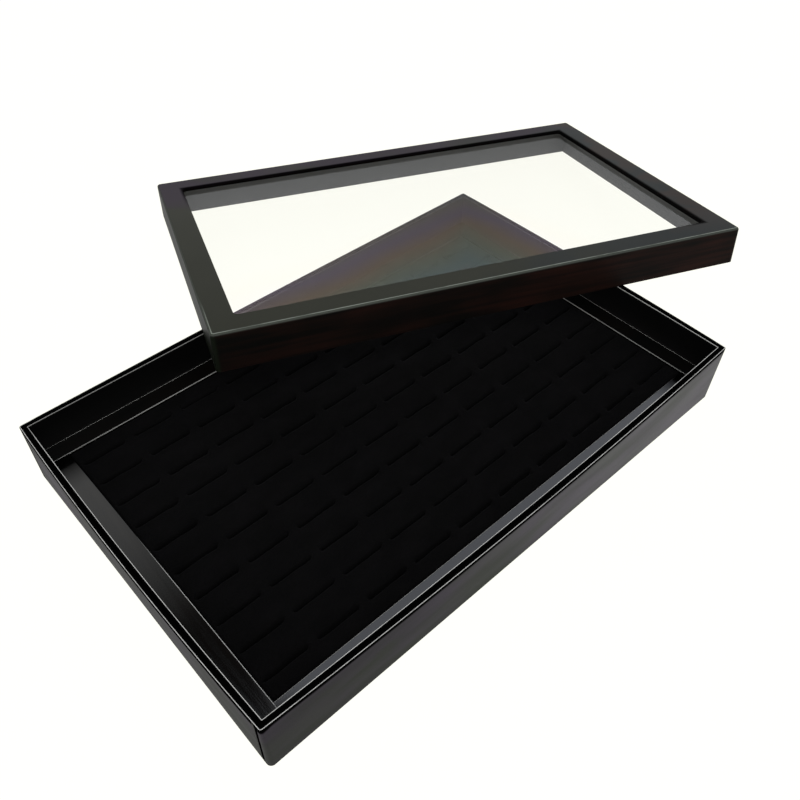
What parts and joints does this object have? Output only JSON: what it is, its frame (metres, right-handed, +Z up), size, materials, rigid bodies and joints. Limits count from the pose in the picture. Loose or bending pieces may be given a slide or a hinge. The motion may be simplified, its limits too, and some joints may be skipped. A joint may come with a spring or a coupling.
{
  "type": "ring display box",
  "caption": "Shallow rectangular display tray with a raised ledge round a slotted velvet ring pad, and a loose window-framed lid lying askew across one corner.",
  "frame": {"origin": "centre of the tray's underside, on the surface that the box stands on", "axes": "+Z up, +X along the tray's long side, +Y along its short side towards the side that the lid lies over; the lid also reaches over the +X side"},
  "size_m": [0.4313, 0.3312, 0.0632],
  "materials": {
    "black_paper": "black textured wrapping paper, satin",
    "black_paper_board": "board faced with the same black paper",
    "greyboard": "bare greyboard, matt",
    "kraft_tape": "gummed kraft tape",
    "foam": "black open-cell foam",
    "velvet": "black velvet, deep pile",
    "clear_film": "thin clear film, glossy, slightly hazy",
    "clear_tape": "double-sided tape"
  },
  "bodies": {
    "tray": {"base_paper": "black_paper", "floor_board": "greyboard", "wall_front": "greyboard", "wall_back": "greyboard", "wall_left": "greyboard", "wall_right": "greyboard", "tray_wrap": "black_paper", "corner_tapes": "kraft_tape", "liner_front": "black_paper_board", "liner_back": "black_paper_board", "liner_left": "black_paper_board", "liner_right": "black_paper_board", "ledge_front": "black_paper_board", "ledge_back": "black_paper_board", "ledge_left": "black_paper_board", "ledge_right": "black_paper_board", "pad_backing_card": "greyboard", "foam_pad": "foam", "velvet_facing": "velvet"},
    "lid": {"lid_top_board": "greyboard", "lid_skirt_front": "greyboard", "lid_skirt_back": "greyboard", "lid_skirt_left": "greyboard", "lid_skirt_right": "greyboard", "lid_wrap": "black_paper", "window_film": "clear_film", "film_tapes": "clear_tape"}
  },
  "joints": [
    {"name": "lid_lift", "type": "slide", "parent": "tray", "child": "lid", "axis": [0, 0, 1], "range_m": [0, 0.15]}
  ]
}
